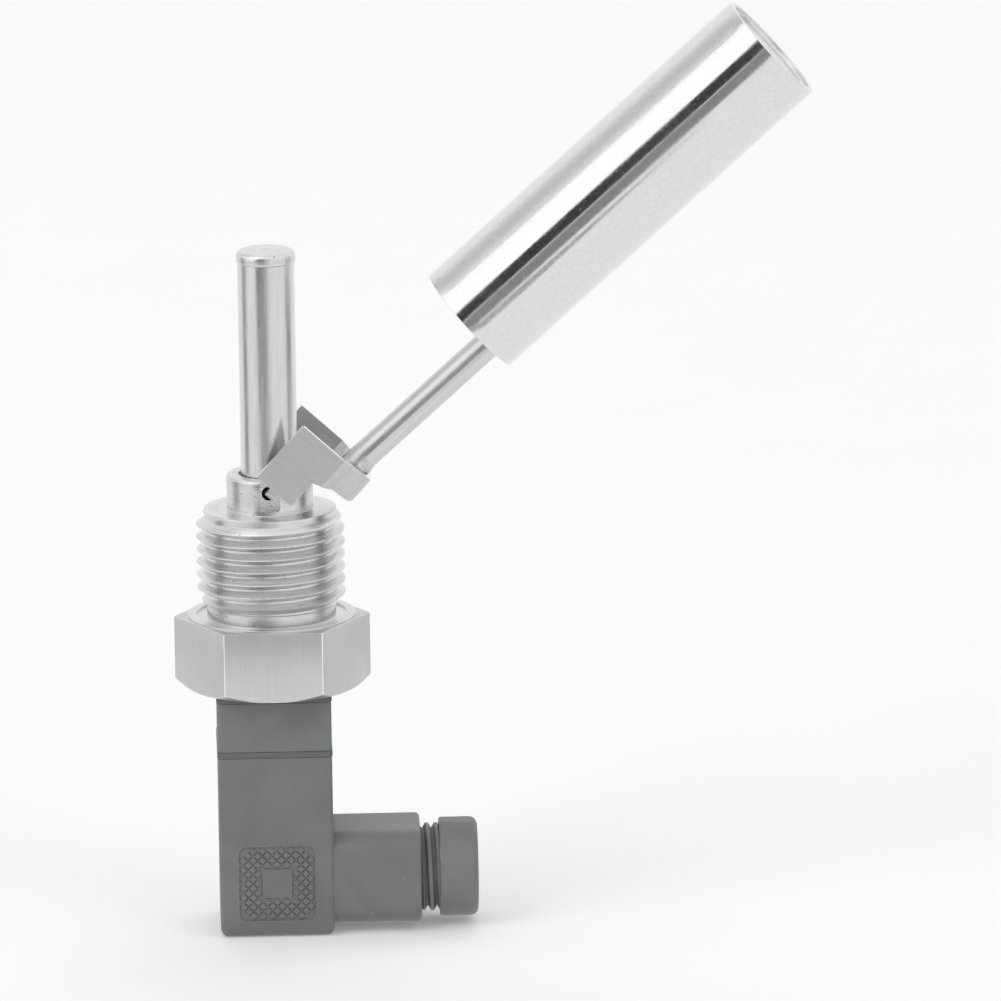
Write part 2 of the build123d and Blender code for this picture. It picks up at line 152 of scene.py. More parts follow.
def drawnGrainGroup():  # streaks along the first axis of the vector that comes in
    tree, given, result = startEffect("drawnGrain", ["Fine", "Broad", "Scratches"])
    for label, scale, detail in (("Fine", 1.0, 4.0), ("Broad", 0.16, 2.0)):
        wire(tree, noise(tree, given["Vector"], scale, detail), result[label])
    sparse = noise(tree, given["Vector"], 0.55, 1.0, 0.4)
    wire(tree, ramp(tree, sparse, 0.69, 0.76), result["Scratches"])
    return tree


def specksGroup():  # small separate marks: dust, pits, spatter
    tree, given, result = startEffect("specks", ["Mask"], Spacing=0.001, Share=0.2, Size=0.15)
    scale = calculate(tree, "DIVIDE", 1.0, given["Spacing"])
    ragged = addNode(tree, "ShaderNodeTexNoise",
                     {"Vector": given["Vector"], "Scale": times(tree, scale, 5.0)})
    swing = made(tree, "ShaderNodeVectorMath",
                 {0: ragged.outputs["Color"], "Scale": times(tree, given["Spacing"], 0.22)},
                 operation="SCALE")
    bent = made(tree, "ShaderNodeVectorMath", {0: given["Vector"], 1: swing}, operation="ADD")
    cells = addNode(tree, "ShaderNodeTexVoronoi", {"Vector": bent, "Scale": scale}).outputs
    shade = addNode(tree, "ShaderNodeSeparateColor", {0: cells["Color"]}).outputs
    chosen = calculate(tree, "LESS_THAN", shade[0], given["Share"])
    reach = times(tree, given["Size"], plus(tree, shade[1], 0.3))
    near = calculate(tree, "LESS_THAN", cells["Distance"], reach)
    wire(tree, times(tree, chosen, near), result["Mask"])
    return tree


def edgeWearAndHighlightGroup():  # bright where the surface turns a corner, broken up by noise: rubbed wear and a painted highlight on the edges
    tree, given, result = startEffect("edgeWearAndHighlight", ["Mask"], Width=0.0002)
    eased = made(tree, "ShaderNodeBevel", {"Radius": given["Width"]}, samples=4)
    normal = addNode(tree, "ShaderNodeNewGeometry").outputs["Normal"]
    likeness = addNode(tree, "ShaderNodeVectorMath", {0: eased, 1: normal},
                       operation="DOT_PRODUCT").outputs["Value"]
    worn = ramp(tree, likeness, 0.985, 0.88)
    patchy = ramp(tree, noise(tree, given["Vector"], 900.0), 0.3, 0.6, 0.45, 1.0)
    wire(tree, times(tree, worn, patchy), result["Mask"])
    return tree


def smudgesGroup():  # slow changes of gloss from handling
    tree, given, result = startEffect("smudges", ["Mask"], Size=0.008)
    scale = calculate(tree, "DIVIDE", 1.0, given["Size"])
    cloudy = noise(tree, given["Vector"], scale, 4.0, 0.6)
    wire(tree, ramp(tree, cloudy, 0.35, 0.68), result["Mask"])
    return tree


effects = {"turnedLines": turnedLinesGroup(), "drawnGrain": drawnGrainGroup(),
           "specks": specksGroup(), "edgeWearAndHighlight": edgeWearAndHighlightGroup(), "smudges": smudgesGroup()}
print("effect groups built")


def effect(tree, name, place, **sockets):
    return addNode(tree, "ShaderNodeGroup", {"Vector": place, **sockets},
                   node_tree=effects[name]).outputs


def emptied(owner):  # the node tree of a new material or world, with nothing in it
    owner.use_nodes = True
    owner.node_tree.nodes.clear()
    return owner.node_tree


def startMaterial(name, fixed):
    material = bpy.data.materials.new(name)
    tree = emptied(material)
    shader = addNode(tree, "ShaderNodeBsdfPrincipled", fixed)
    addNode(tree, "ShaderNodeOutputMaterial", {0: shader.outputs[0]})
    coordinates = addNode(tree, "ShaderNodeTexCoord").outputs["Object"]
    return material, tree, shader.inputs, coordinates


def addBump(tree, shader, height, look):
    bump = made(tree, "ShaderNodeBump",
                {"Height": height, "Strength": look["bump"], "Distance": look["relief"]})
    wire(tree, bump, shader["Normal"])


def sharedMarks(tree, place, look):  # handling, specks, and edges lightened by rubbed wear and a painted highlight, as masks
    return (effect(tree, "smudges", place, Size=look["smudge"])["Mask"],
            effect(tree, "specks", place, Spacing=look["speckSpacing"],
                   Share=look["speckShare"], Size=look["speckSize"])["Mask"],
            effect(tree, "edgeWearAndHighlight", place, Width=look["edge"])["Mask"])


def grey(tone):
    return tone, tone, tone


def warm(tone):  # the slightly yellow grey of stainless steel
    return tone, tone, tone - 0.005


steelLook = {
    "turn": 0.0,  # degrees about the pivot's direction, for the grain of the float arm's pieces
    "cell": (0.00016, 0.00016, 0.03),  # size of one streak, metres
    "rings": 0.0, "ringWidth": 0.00018, "dark": warm(0.47), "light": warm(0.66),
    "band": grey(0.36), "bands": 0.25,
    "speck": grey(0.16), "speckDepth": 0.6, "speckSpacing": 0.0011, "speckShare": 0.1,
    "speckSize": 0.07, "worn": grey(0.86), "wear": 0.8, "edge": 0.00016,
    "rough": (0.24, 0.36), "haze": 0.08, "smudge": 0.009, "scratch": 0.08,
    "bump": 0.25, "relief": 0.00002, "pitDepth": 1.6,
}


def steel(name, **changes):  # one maker for every metal finish; the look says which marks it has
    look = {**steelLook, **changes}
    material, tree, shader, place = startMaterial(name, {"Metallic": 1.0})
    turned = made(tree, "ShaderNodeMapping",
                  {0: place, "Rotation": (0, radians(look["turn"]), 0), "Scale": look["cell"]},
                  vector_type="TEXTURE")
    grain = effect(tree, "drawnGrain", turned)
    rings = effect(tree, "turnedLines", place, Width=look["ringWidth"])
    gloss, marks, wear = sharedMarks(tree, place, look)
    lined, broad = (plus(tree, times(tree, grain[along], 1 - look["rings"]),
                         times(tree, rings[around], look["rings"]))
                    for along, around in (("Fine", "Lines"), ("Broad", "Broad")))
    toned = mixColours(tree, ramp(tree, lined, 0.36, 0.64), look["dark"], look["light"])
    shaded = mixColours(tree, ramp(tree, broad, 0.3, 0.7, 0.0, look["bands"]), toned, look["band"])
    marked = mixColours(tree, times(tree, marks, look["speckDepth"]), shaded, look["speck"])
    # corners made lighter: rubbed wear and a painted highlight
    worn = mixColours(tree, times(tree, wear, look["wear"]), marked, look["worn"])
    wire(tree, worn, shader["Base Color"])
    rough = ramp(tree, lined, 0.3, 0.7, *look["rough"])
    handled = plus(tree, rough, times(tree, gloss, look["haze"]))
    scratched = plus(tree, handled, times(tree, grain["Scratches"], look["scratch"]))
    wire(tree, scratched, shader["Roughness"])
    addBump(tree, shader, minus(tree, lined, times(tree, marks, look["pitDepth"])), look)
    return material


rodTurn, yokeTurn = -41.8, -47.6  # degrees, the grain's direction on the float arm
turnedSteel = steel(
    "turnedSteel", rings=0.9, rough=(0.19, 0.29), bump=0.14, dark=warm(0.64), light=warm(0.79),
    speckShare=0.75, speckSize=0.12, speckSpacing=0.0009, speckDepth=0.7)
hexagonSteel = steel(
    "hexagonSteel", cell=(0.00013, 0.00013, 0.012), rough=(0.34, 0.42), bump=0.1, speckShare=0.2,
    dark=grey(0.6), light=warm(0.64), band=grey(0.56), bands=0.1, wear=1.0, worn=grey(0.92))
stemSteel = steel(
    "stemSteel", cell=(0.0004, 0.0004, 0.006), rough=(0.17, 0.24), bump=0.04, bands=0.08,
    dark=warm(0.65), light=warm(0.72), speck=grey(0.3), speckShare=0.55, speckSize=0.09,
    speckSpacing=0.0008)
rodSteel = steel(
    "rodSteel", turn=rodTurn, cell=(0.02, 0.00014, 0.00014), rough=(0.26, 0.36), bump=0.1,
    dark=warm(0.6), light=warm(0.68), bands=0.1)
sheetSteel = steel(
    "sheetSteel", turn=yokeTurn, cell=(0.00009, 0.00009, 0.004), rough=(0.28, 0.38), bump=0.18,
    dark=warm(0.53), light=warm(0.61), bands=0.1, wear=1.0, worn=grey(0.92))
# near-white steel for the yoke's cut edges and the hexagon's corners, a painted highlight along
# them
cutEdgeHighlightSteel = steel(
    "cutEdgeHighlightSteel", turn=yokeTurn, cell=(0.0003, 0.0006, 0.0003), rough=(0.22, 0.34),
    dark=grey(0.9), light=grey(0.97), bands=0.0)
polishedSteel = steel(
    "polishedSteel", turn=rodTurn, cell=(0.0007, 0.00035, 0.00035), rough=(0.06, 0.11),
    dark=warm(0.7), light=warm(0.75), haze=0.07, bands=0.03, bump=0.03, scratch=0.12,
    speckShare=0.12, speckSize=0.05, smudge=0.012)
cupSteel = steel(
    "cupSteel", turn=rodTurn, cell=(0.004, 0.0002, 0.0002), rough=(0.26, 0.36), bump=0.08,
    dark=warm(0.7), light=warm(0.78), bands=0.05)
weldSteel = steel(
    "weldSteel", turn=rodTurn, cell=(0.0004, 0.0004, 0.0004), rough=(0.26, 0.38), bump=0.3,
    dark=(0.56, 0.555, 0.545), light=(0.69, 0.685, 0.675), speckShare=0.4, speckSpacing=0.0006,
    speckSize=0.14)
brass = steel(
    "brass", rings=0.6, dark=(0.5, 0.36, 0.16), light=(0.68, 0.5, 0.24), band=(0.4, 0.28, 0.12),
    worn=(0.8, 0.62, 0.34), speck=(0.2, 0.13, 0.06))
tinnedMetal = steel("tinnedMetal", dark=(0.56, 0.56, 0.54), light=(0.7, 0.7, 0.68),
                    rough=(0.22, 0.34))
screwSteel = steel("screwSteel", rings=0.7, dark=(0.42, 0.43, 0.45), light=(0.58, 0.59, 0.61))

plasticLook = {
    "dark": (0.15, 0.158, 0.162), "light": (0.19, 0.2, 0.205), "worn": grey(0.42),
    "wear": 0.35, "edge": 0.00025, "speckDepth": 0.7, "speck": grey(0.6),
    "speckSpacing": 0.0012, "speckShare": 0.16, "speckSize": 0.055, "smudge": 0.012,
    "grain": 0.00016,
    "rough": (0.36, 0.46), "haze": 0.08, "bump": 0.35, "relief": 0.00003, "specular": 0.5,
}


def moulded(name, **changes):  # moulded grain, slow tone changes, dust, and edges lightened by rubbed wear and a painted highlight
    look = {**plasticLook, **changes}
    material, tree, shader, place = startMaterial(
        name, {"Metallic": 0.0, "Specular IOR Level": look["specular"]})
    grain = noise(tree, place, 1.0 / look["grain"], 3.0)
    slow, dust, wear = sharedMarks(tree, place, look)
    toned = mixColours(tree, slow, look["dark"], look["light"])
    # corners made lighter: rubbed wear and a painted highlight
    worn = mixColours(tree, times(tree, wear, look["wear"]), toned, look["worn"])
    dusty = mixColours(tree, times(tree, dust, look["speckDepth"]), worn, look["speck"])
    wire(tree, dusty, shader["Base Color"])
    rough = ramp(tree, grain, 0.3, 0.7, *look["rough"])
    wire(tree, plus(tree, rough, times(tree, slow, look["haze"])), shader["Roughness"])
    addBump(tree, shader, grain, look)
    return material


connectorPlastic = moulded("connectorPlastic")
nutPlastic = moulded("nutPlastic", rough=(0.42, 0.52))
sealRubber = moulded("sealRubber", dark=(0.12, 0.126, 0.13), light=(0.155, 0.163, 0.167),
                     rough=(0.55, 0.7), specular=0.3, wear=0.15)
grommetRubber = moulded("grommetRubber", dark=(0.02, 0.02, 0.021), light=(0.035, 0.035, 0.036),
                        rough=(0.55, 0.7))
formerPlastic = moulded("formerPlastic", dark=(0.62, 0.6, 0.54), light=(0.7, 0.68, 0.62), wear=0.1,
                        speck=(0.4, 0.38, 0.34))
blockPlastic = moulded("blockPlastic", dark=(0.05, 0.05, 0.052), light=(0.07, 0.07, 0.073))
magnetCeramic = moulded("magnetCeramic", dark=(0.03, 0.03, 0.032), light=(0.06, 0.058, 0.056),
                        grain=0.00035, rough=(0.45, 0.7), bump=0.5)
redCover = moulded("redCover", dark=(0.42, 0.02, 0.015), light=(0.5, 0.03, 0.02), rough=(0.3, 0.4))
blackCover = moulded("blackCover", dark=(0.018, 0.018, 0.02), light=(0.03, 0.03, 0.032),
                     rough=(0.3, 0.4))
pottingResin = moulded("pottingResin", dark=(0.02, 0.021, 0.025), light=(0.035, 0.036, 0.04),
                       rough=(0.12, 0.2))
# near black for the inside of the pivot holes: painted shade
holePaintedShade = moulded("holePaintedShade", dark=grey(0.012), light=grey(0.03), rough=(0.6, 0.8), wear=0.0,
                    speckDepth=0.1)


def glassMaterial():
    material, tree, shader, place = startMaterial(
        "reedGlass", {"Metallic": 0.0, "IOR": 1.49, "Transmission Weight": 1.0})
    slow = effect(tree, "smudges", place, Size=0.002)["Mask"]
    tint = mixColours(tree, slow, (0.72, 0.9, 0.78), (0.82, 0.95, 0.86))
    wire(tree, tint, shader["Base Color"])
    wire(tree, ramp(tree, slow, 0.0, 1.0, 0.02, 0.09), shader["Roughness"])
    return material


reedGlass = glassMaterial()
print("materials built")


# Meshes: millimetres go in, metres come out.
def eased(points, steps=4):  # an outline of (radius, height, rounding) with its corners rounded
    outline = []
    for index, (radius, height, rounding) in enumerate(points):
        corner = Vector((radius, height))
        if not rounding:
            outline.append(corner)
            continue
        before, after = (Vector(points[(index + step) % len(points)][:2]) for step in (-1, 1))
        start = corner + (before - corner).normalized() * rounding
        end = corner + (after - corner).normalized() * rounding
        for step in range(steps + 1):
            share = step / steps
            outline.append(start * (1 - share) ** 2 + corner * 2 * share * (1 - share)
                           + end * share ** 2)
    return [tuple(point) for point in outline]


def meshOf(whole):  # ends a bmesh and gives the mesh it holds
    mesh = bpy.data.meshes.new("shape")
    whole.to_mesh(mesh)
    whole.free()
    return mesh


def gridMesh(rows, angles):  # rows of (radius, height) or of functions of the angle, closed
    whole = bmesh.new()
    rings = []
    for row in rows:
        ring = []
        for angle in angles:
            radius, height = row(angle) if callable(row) else row
            ring.append(whole.verts.new((radius * cos(angle) * millimetre,
                                         radius * sin(angle) * millimetre, height * millimetre)))
        rings.append(ring)
    columns = len(angles)
    for low, high in zip(rings, rings[1:] + rings[:1]):
        for column in range(columns):
            after = (column + 1) % columns
            whole.faces.new((low[column], low[after], high[after], high[column]))
    bmesh.ops.remove_doubles(whole, verts=whole.verts, dist=mergeDistance)
    bmesh.ops.dissolve_degenerate(whole, edges=whole.edges, dist=1e-8)
    bare = [edge for edge in whole.edges if not edge.link_faces]
    bmesh.ops.delete(whole, geom=bare, context="EDGES")
    bmesh.ops.recalc_face_normals(whole, faces=whole.faces)
    return meshOf(whole)


def even(count):
    return [2 * pi * step / count for step in range(count)]


def turnedMesh(points, count=128, steps=4):
    return gridMesh(eased(points, steps), even(count))


def prism(outline, start, end):  # an outline in (x, z), pushed along y
    whole = bmesh.new()
    ends = [[whole.verts.new((x * millimetre, y * millimetre, z * millimetre))
             for x, z in outline] for y in (start, end)]
    whole.faces.new(ends[0])
    whole.faces.new(ends[1][::-1])
    count = len(outline)
    for step in range(count):
        after = (step + 1) % count
        whole.faces.new((ends[0][after], ends[0][step], ends[1][step], ends[1][after]))
    bmesh.ops.recalc_face_normals(whole, faces=whole.faces)
    return meshOf(whole)


def addObject(name, data):
    added = bpy.data.objects.new(name, data)
    bpy.context.scene.collection.objects.link(added)
    return added


def placed(mesh, matrix):
    mesh.transform(matrix)
    return mesh


def shift(x, y, z):
    return Matrix.Translation(Vector((x, y, z)) * millimetre)


def tilt(degrees):
    return Matrix.Rotation(radians(degrees), 4, "Y")


def remade(mesh, change):  # runs a change over a mesh's bmesh
    whole = bmesh.new()
    whole.from_mesh(mesh)
    change(whole)
    whole.to_mesh(mesh)
    whole.free()
    return mesh


def carried(mesh, change):  # puts a mesh through modifiers and gives the plain result
    carrier = addObject("carrier", mesh)
    change(carrier)
    graph = bpy.context.evaluated_depsgraph_get()
    result = bpy.data.meshes.new_from_object(carrier.evaluated_get(graph))
    bpy.data.objects.remove(carrier)
    return result


def beveled(mesh, width, segments=2, angle=32):
    def change(carrier):
        bevel = carrier.modifiers.new("bevel", "BEVEL")
        bevel.width, bevel.segments = width * millimetre, segments
        bevel.limit_method, bevel.angle_limit = "ANGLE", radians(angle)
        bevel.use_clamp_overlap = True
    return carried(mesh, change)


def cutBy(mesh, cutters):
    tools = []

    def change(carrier):
        for cutter in cutters:
            tools.append(addObject("cutter", cutter))
            cut = carrier.modifiers.new("cut", "BOOLEAN")
            cut.operation, cut.solver, cut.object = "DIFFERENCE", "EXACT", tools[-1]
    result = carried(mesh, change)
    for tool in tools:
        bpy.data.objects.remove(tool)
    return result


def nodeCopy(node, cutters=()):  # a CAD node's mesh: joined, cut, and its flats made whole
    mesh = remade(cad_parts[node].data.copy(), lambda whole: bmesh.ops.remove_doubles(
        whole, verts=whole.verts, dist=2e-6))
    return remade(cutBy(mesh, cutters), lambda whole: bmesh.ops.dissolve_limit(
        whole, angle_limit=radians(0.6), verts=whole.verts, edges=whole.edges))


def grown(tree, lengths, others):  # runs a geometry node tree once, with values by input name
    values = {**{name: length * millimetre for name, length in lengths.items()}, **others}

    def change(carrier):
        modifier = carrier.modifiers.new("shape", "NODES")
        modifier.node_group = tree
        for item in tree.interface.items_tree:
            if item.in_out == "INPUT" and item.name in values:
                modifier[item.identifier] = values[item.name]

    def close(whole):
        bmesh.ops.remove_doubles(whole, verts=whole.verts, dist=mergeDistance)
        bmesh.ops.recalc_face_normals(whole, faces=whole.faces)
    return remade(carried(bpy.data.meshes.new("seed"), change), close)


def makePiece(name, parts, body, nodes=(), sharp=32):
    whole = bmesh.new()
    finishes = []
    for mesh, finish in parts:
        first = len(whole.faces)
        whole.from_mesh(mesh)
        whole.faces.ensure_lookup_table()
        if finish not in finishes:
            finishes.append(finish)
        for face in whole.faces[first:]:
            face.material_index = finishes.index(finish)
            face.smooth = True
    mesh = meshOf(whole)
    mesh.name = name
    for finish in finishes:
        mesh.materials.append(finish)
    mesh.set_sharp_from_angle(angle=radians(sharp))
    piece = addObject(name, mesh)
    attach(piece, body)
    if nodes:
        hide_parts(*nodes)
    return piece


# Geometry node trees.
def startShape(name, numbers):
    return startGroup(name, "GeometryNodeTree",
                      numberInputs(numbers) + [("Finish", "NodeSocketMaterial", None)],
                      [("Geometry", "NodeSocketGeometry")])


def endShape(tree, given, result, geometry):
    plain = made(tree, "GeometryNodeRealizeInstances", {0: geometry})
    finished = made(tree, "GeometryNodeSetMaterial",
                    {"Geometry": plain, "Material": given["Finish"]})
    wire(tree, finished, result["Geometry"])
    return tree


def threadTree():  # one ridge wound round Z, trimmed to the chamfers at both ends
    tree, given, result = startShape("helicalThread", {
        "Crest Radius": 0.01, "Depth": 0.001, "Pitch": 0.0018, "Turns": 9.0, "Start": 0.0,
        "Low End": 0.0, "High End": 0.01, "Low Radius": 0.009, "High Radius": 0.009,
        "High Slope": 1.0, "Crest Share": 0.05, "Resolution": 120})
    root = minus(tree, given["Crest Radius"], given["Depth"])
    path = made(tree, "GeometryNodeCurveSpiral", {
        "Resolution": given["Resolution"], "Rotations": given["Turns"], "Start Radius": root,
        "End Radius": root, "Height": times(tree, given["Pitch"], given["Turns"]),
        "Reverse": True})
    upright = made(tree, "GeometryNodeSetCurveNormal", {"Curve": path}, mode="Z_UP")
    sunk = times(tree, given["Depth"], -0.2)
    half = times(tree, given["Pitch"], 0.52)
    crest = times(tree, given["Pitch"], given["Crest Share"])
    corners = [combine(tree, {0: radial, 1: times(tree, axial, side)})
               for radial, axial in ((sunk, half), (given["Depth"], crest)) for side in (1, -1)]
    outline = made(tree, "GeometryNodeCurvePrimitiveQuadrilateral",
                   {"Point 1": corners[0], "Point 2": corners[2], "Point 3": corners[3],
                    "Point 4": corners[1]}, mode="POINTS")
    softened = made(tree, "GeometryNodeFilletCurve",
                    {"Curve": outline, "Radius": times(tree, given["Pitch"], 0.03)})
    swept = made(tree, "GeometryNodeCurveToMesh",
                 {"Curve": upright, "Profile Curve": softened, "Fill Caps": True})
    lifted = made(tree, "GeometryNodeTransform",
                  {"Geometry": swept, "Translation": combine(tree, {2: given["Start"]})})
    here = split(tree, made(tree, "GeometryNodeInputPosition"))
    level = smaller(tree, larger(tree, here[2], given["Low End"]), given["High End"])
    radius = fromAxis(tree, here)
    lowCone = plus(tree, given["Low Radius"], minus(tree, level, given["Low End"]))
    below = minus(tree, given["High End"], level)
    highCone = plus(tree, given["High Radius"], times(tree, below, given["High Slope"]))
    allowed = smaller(tree, smaller(tree, lowCone, highCone), radius)
    share = calculate(tree, "DIVIDE", allowed, radius)
    moved = combine(tree, {0: times(tree, here[0], share), 1: times(tree, here[1], share),
                           2: level})
    trimmed = made(tree, "GeometryNodeSetPosition", {"Geometry": lifted, "Position": moved})
    return endShape(tree, given, result, trimmed)


def knurlTree():  # small pyramids on a diagonal grid, with a square left clear in the middle
    tree, given, result = startShape("diamondKnurl", {
        "Side": 0.01, "Pitch": 0.0014, "Clear Side": 0.004, "Corner Cut": 0.001,
        "Height": 0.0003, "Count": 17})
    spacing = times(tree, given["Pitch"], sqrt(0.5))
    across = times(tree, spacing, minus(tree, given["Count"], 1.0))
    lattice = made(tree, "GeometryNodeMeshGrid", {
        "Size X": across, "Size Y": across, "Vertices X": given["Count"],
        "Vertices Y": given["Count"]})
    diagonal = made(tree, "GeometryNodeTransform",
                    {"Geometry": lattice, "Rotation": (0, 0, radians(45))})
    here = split(tree, made(tree, "GeometryNodeInputPosition"))
    wide, tall = (calculate(tree, "ABSOLUTE", here[i]) for i in (0, 1))
    furthest = larger(tree, wide, tall)
    halfBase = times(tree, given["Pitch"], 0.5)
    edge = minus(tree, times(tree, given["Side"], 0.5), halfBase)
    outside = calculate(tree, "GREATER_THAN", furthest, times(tree, edge, 1.02))
    inner = plus(tree, times(tree, given["Clear Side"], 0.5), halfBase)
    inside = calculate(tree, "LESS_THAN", furthest, times(tree, inner, 0.98))
    cornerLine = minus(tree, times(tree, edge, 2.0), given["Corner Cut"])
    cut = calculate(tree, "GREATER_THAN", plus(tree, wide, tall), cornerLine)
    unwanted = larger(tree, larger(tree, outside, inside), cut)
    kept = made(tree, "GeometryNodeDeleteGeometry",
                {"Geometry": diagonal, "Selection": unwanted}, domain="POINT")
    pyramid = made(tree, "GeometryNodeMeshCone", {
        "Vertices": 4, "Radius Top": times(tree, halfBase, 0.58),
        "Radius Bottom": times(tree, halfBase, 0.99), "Depth": given["Height"]})
    many = made(tree, "GeometryNodeInstanceOnPoints", {"Points": kept, "Instance": pyramid})
    return endShape(tree, given, result, many)


def weldTree():  # overlapping drops of weld metal round a ring
    tree, given, result = startShape("weldRipple", {
        "Ring Radius": 0.0022, "Drop Radius": 0.0007, "Drops": 14, "Seed": 3})
    ring = made(tree, "GeometryNodeCurvePrimitiveCircle",
                {"Resolution": given["Drops"], "Radius": given["Ring Radius"]})
    points = made(tree, "GeometryNodeCurveToPoints", {"Curve": ring, "Count": given["Drops"]})
    drop = made(tree, "GeometryNodeMeshIcoSphere",
                {"Radius": given["Drop Radius"], "Subdivisions": 3})
    size = made(tree, "FunctionNodeRandomValue",
                {"Min": (0.8, 0.8, 0.6), "Max": (1.15, 1.15, 0.95), "Seed": given["Seed"]},
                data_type="FLOAT_VECTOR")
    many = made(tree, "GeometryNodeInstanceOnPoints",
                {"Points": points, "Instance": drop, "Scale": size})
    return endShape(tree, given, result, many)


helicalThread, diamondKnurl, weldRipple = threadTree(), knurlTree(), weldTree()
print("geometry node trees built")

# The plug: hexagon, washer face, thread and boss in one piece.
plug = {
    "flats": 24.0, "cornerRounding": 0.3, "hexBottom": -10.3, "hexTop": -0.3, "edge": 0.13,
    "chamfer": 30.0, "middle": -4.0, "rings": (0.6, 0.15), "washer": 11.8, "washerLip": 0.02,
    "washerRound": 0.08, "seatRound": 0.05, "rootRound": 0.12, "topRound": 0.06,
    "bossRound": 0.55, "floorRound": 0.1, "footRing": 1.2, "bossRing": 2.0,
    "threadSeat": 10.62, "relief": 9.1, "reliefTop": 1.4, "crest": 10.4775, "depth": 1.162,
    "pitch": 1.814, "turns": 9.8, "start": -0.6, "under": 0.05, "crestShare": 0.025,
    "threadTop": 15.2, "topRadius": 9.2775, "topChamfer": 30.0, "cornerAngles": (0.35, 0.7, 1.0),
    "boss": 6.1, "bossTop": 20.2, "recess": 4.4, "recessFloor": 19.6,
    "seat": 4.01, "seatBottom": 8.0, "wireWay": 3.0, "cavity": 7.3, "cavityTop": 6.0,
    "slotWidth": 2.8, "slotFloor": 5.55, "slotBottom": 15.8, "slotRounding": 0.6,
    "pivotHeight": 18.4, "holeRadius": 1.0, "holeX": -0.2, "holeEnd": 4.3,
    "holeMargins": (0.3, 0.15), "cornerLine": 0.4, "cornerReach": 1.5, "overshoot": 1.0,
    "margin": 0.01, "holeMargin": 0.001,
}


def fromSixth(angle):  # the angle to the nearest of six even directions
    return abs((angle + pi / 6) % (pi / 3) - pi / 6)


def hexagonRadius(angle):  # distance to the hexagon's side, with its upright corners rounded
    half, rounding = plug["flats"] / 2, plug["cornerRounding"]
    fromCorner = fromSixth(angle)
    centre = (half - rounding) / cos(pi / 6)
    if fromCorner < pi / 6 - atan(centre * sin(pi / 6) / half):
        return centre * cos(fromCorner) + sqrt(rounding ** 2 - (centre * sin(fromCorner)) ** 2)
    return half / cos(pi / 6 - fromCorner)


def chamferHeight(radius):
    rise = (radius - plug["flats"] / 2) * tan(radians(plug["chamfer"]))
    return plug["hexBottom"] + max(rise, 0.0)


def sideRow(inset, height):
    return lambda angle: (hexagonRadius(angle) - inset, height)


def edgeRow(inset, lift, chamferInset=0.0):  # along the hexagon's chamfered lower edge
    return lambda angle: (hexagonRadius(angle) - inset,
                          chamferHeight(hexagonRadius(angle) - chamferInset) + lift)


def plugMesh():
    top, edge, root = plug["hexTop"], plug["edge"], plug["crest"] - plug["depth"]
    threadTop, boss, bossTop = plug["threadTop"], plug["boss"], plug["bossTop"]
    half, bend = plug["flats"] / 2, 0.3 * edge
    lower = [
        (plug["cavity"], plug["hexBottom"]),
        *((half - inset, plug["hexBottom"]) for inset in plug["rings"]),
        edgeRow(edge, 0.0, edge), edgeRow(bend, 0.25 * edge), edgeRow(0.0, edge),
        sideRow(0.0, plug["middle"]), sideRow(0.0, top - edge),
        sideRow(bend, top - bend), sideRow(edge, top),
    ]
    upper = eased([
        (plug["washer"] + plug["washerLip"], top, 0), (plug["washer"], 0.0, plug["washerRound"]),
        (plug["threadSeat"], 0.0, plug["seatRound"]), (plug["threadSeat"], top, 0),
        (plug["relief"], top, plug["rootRound"]), (plug["relief"], plug["reliefTop"], 0),
        (root, plug["reliefTop"] + root - plug["relief"], 0),
        (root, threadTop - root + plug["topRadius"], 0),
        (plug["topRadius"], threadTop, plug["topRound"]), (boss + plug["footRing"], threadTop, 0),
        (boss, threadTop, plug["rootRound"]), (boss, bossTop - plug["bossRing"], 0),
        (boss, bossTop, plug["bossRound"]), (plug["recess"], bossTop, plug["topRound"]),
        (plug["recess"], plug["recessFloor"], plug["floorRound"]),
        (plug["seat"], plug["recessFloor"], 0),
        (plug["seat"], plug["seatBottom"], 0), (plug["wireWay"], plug["seatBottom"], 0),
        (plug["wireWay"], plug["cavityTop"], 0), (plug["cavity"], plug["cavityTop"], 0),
    ])
    near = [offset * pi / 180 for offset in plug["cornerAngles"]]
    angles = sorted(set(round(corner * pi / 3 + side * offset, 9) % (2 * pi)
                        for corner in range(6) for offset in near for side in (-1, 1))
                    | set(round(angle, 9) for angle in even(144)))
    return gridMesh(lower + upper, angles)


def slotCutter(side):  # the milled slot, with its lower corners rounded
    half, rounding = plug["slotWidth"] / 2, plug["slotRounding"]
    low, high = plug["slotBottom"], plug["bossTop"] + 2 * plug["overshoot"]
    outline = [(half, high), (-half, high)]
    for centre, start in ((-half + rounding, pi), (half - rounding, 1.5 * pi)):
        for step in range(7):
            angle = start + step * pi / 12
            outline.append((centre + rounding * cos(angle), low + rounding + rounding * sin(angle)))
    return prism(outline, side * plug["slotFloor"], side * (plug["boss"] + plug["overshoot"]))


def pivotCutter(side):
    radius = plug["holeRadius"]
    outline = [(plug["holeX"] + radius * cos(angle), plug["pivotHeight"] + radius * sin(angle))
               for angle in even(40)]
    return prism(outline, side * plug["holeEnd"], side * (plug["boss"] + plug["overshoot"]))


